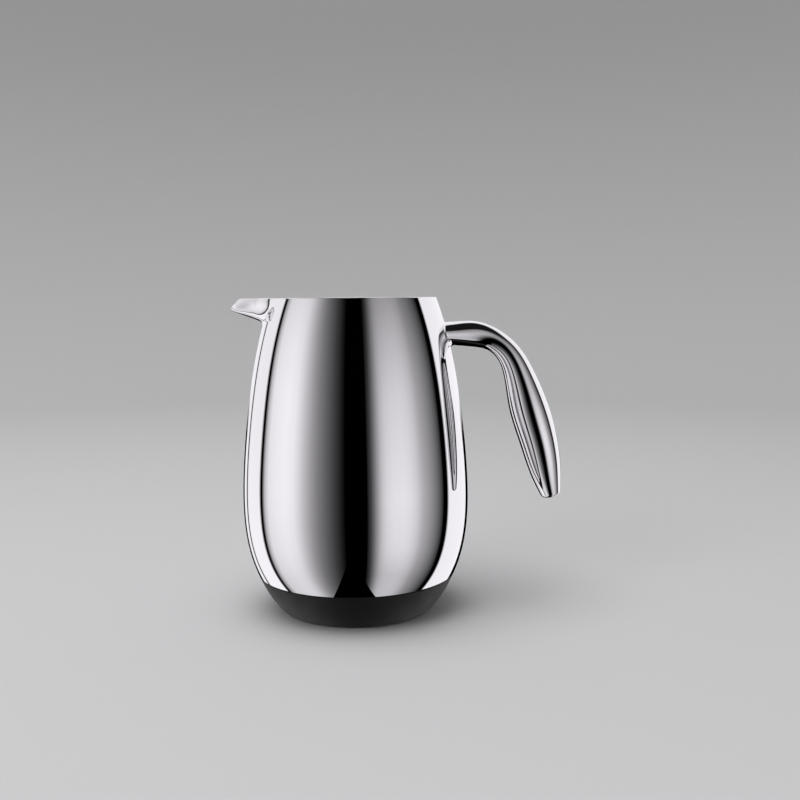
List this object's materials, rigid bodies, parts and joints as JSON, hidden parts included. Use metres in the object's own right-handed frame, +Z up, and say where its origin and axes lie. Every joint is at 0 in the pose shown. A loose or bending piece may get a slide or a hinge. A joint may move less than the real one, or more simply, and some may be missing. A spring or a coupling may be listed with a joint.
{
  "type": "water pitcher",
  "caption": "Open double-walled steel pitcher: mirror-polished egg-shaped body, short pouring beak, hollow handle held at its top end, black base cup.",
  "frame": {"origin": "centre of the resting face, on the axis of the round body", "axes": "+Z up along the body's axis, beak towards -X, handle towards +X, +Y across"},
  "size_m": [0.2007, 0.137, 0.19],
  "materials": {
    "polished_steel": "mirror-polished stainless steel",
    "satin_steel": "satin, turned and brushed round the axis",
    "getter_alloy": "matt sintered metal",
    "solder": "dull solder",
    "foil": "bright foil",
    "black_plastic": "matt black, fine moulded texture",
    "carrier_plastic": "plain moulded",
    "black_rubber": "matt silicone"
  },
  "bodies": {
    "root": {"outer_shell": "polished_steel", "spout_beak": "polished_steel", "handle_left_half": "polished_steel", "handle_right_half": "polished_steel", "handle_end_cap": "polished_steel", "inner_liner": "satin_steel", "spout_throat": "satin_steel", "shell_bottom_cap": "satin_steel", "handle_tang": "satin_steel", "handle_backing_plate": "satin_steel", "getter_clip": "satin_steel", "base_boss": "satin_steel", "base_washer": "satin_steel", "base_screw": "satin_steel", "getter_pellet": "getter_alloy", "evacuation_seal": "solder", "liner_foil": "foil", "base_cup": "black_plastic", "base_carrier": "carrier_plastic", "base_gasket": "black_rubber", "foot_pad": "black_rubber"}
  },
  "joints": []
}
